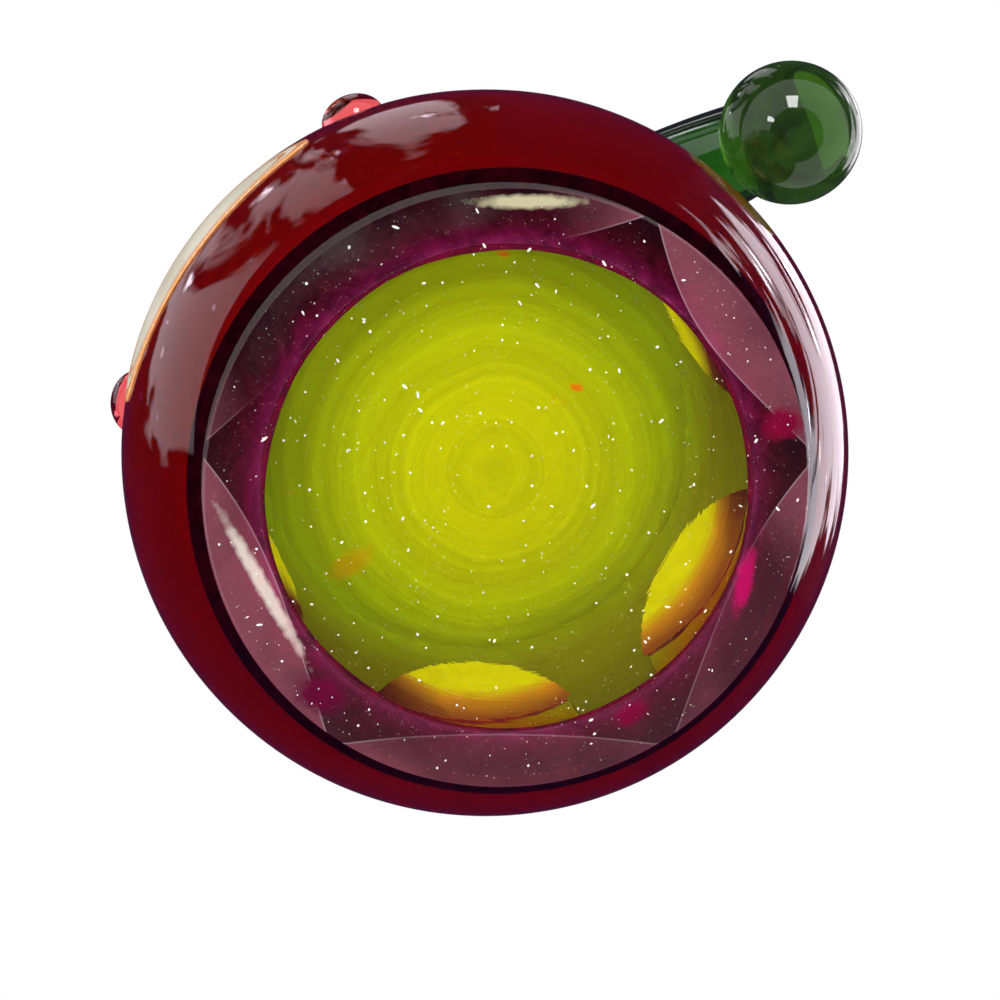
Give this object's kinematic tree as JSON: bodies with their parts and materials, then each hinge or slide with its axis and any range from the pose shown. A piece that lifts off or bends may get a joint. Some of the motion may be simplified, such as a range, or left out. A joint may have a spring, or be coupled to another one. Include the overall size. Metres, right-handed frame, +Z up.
{
  "type": "clown head paperweight",
  "caption": "Solid glass clown head paperweight: ruby casing cut with round flats over a clear core and a yellow-green heart, ground flat base, face on the front flat and a floppy green hat",
  "frame": {"origin": "centre of the flat ground base", "axes": "+Z up out of the base, the clown's face towards -Y, the hat's tip towards -X"},
  "size_m": [0.092, 0.0757, 0.0926],
  "materials": {
    "heart_glass": "opaque, sealed in clear glass",
    "core_glass": "clear, polished",
    "casing_glass": "clear dark ruby, polished",
    "green_glass": "clear, fire polished",
    "ruby_glass": "clear, fire polished",
    "white_glass": "opaque, fire polished",
    "black_glass": "opaque, fire polished",
    "brow_glass": "opaque, fire polished",
    "red_glass": "opaque, fire polished",
    "pink_glass": "opaque, fire polished",
    "label_paper": "matt, blank"
  },
  "bodies": {
    "root": {"heart": "heart_glass", "core": "core_glass", "casing": "casing_glass", "hat": "green_glass", "hat_rim": "green_glass", "hat_pompom": "green_glass", "tuft_back_left": "ruby_glass", "tuft_back_right": "ruby_glass", "tuft_side_left": "ruby_glass", "tuft_side_right": "ruby_glass", "eye_left": "white_glass", "eye_right": "white_glass", "pupil_left": "black_glass", "pupil_right": "black_glass", "brow_left": "brow_glass", "brow_right": "brow_glass", "nose": "red_glass", "mouth": "red_glass", "cheek_left": "pink_glass", "cheek_right": "pink_glass", "label": "label_paper"}
  },
  "joints": []
}
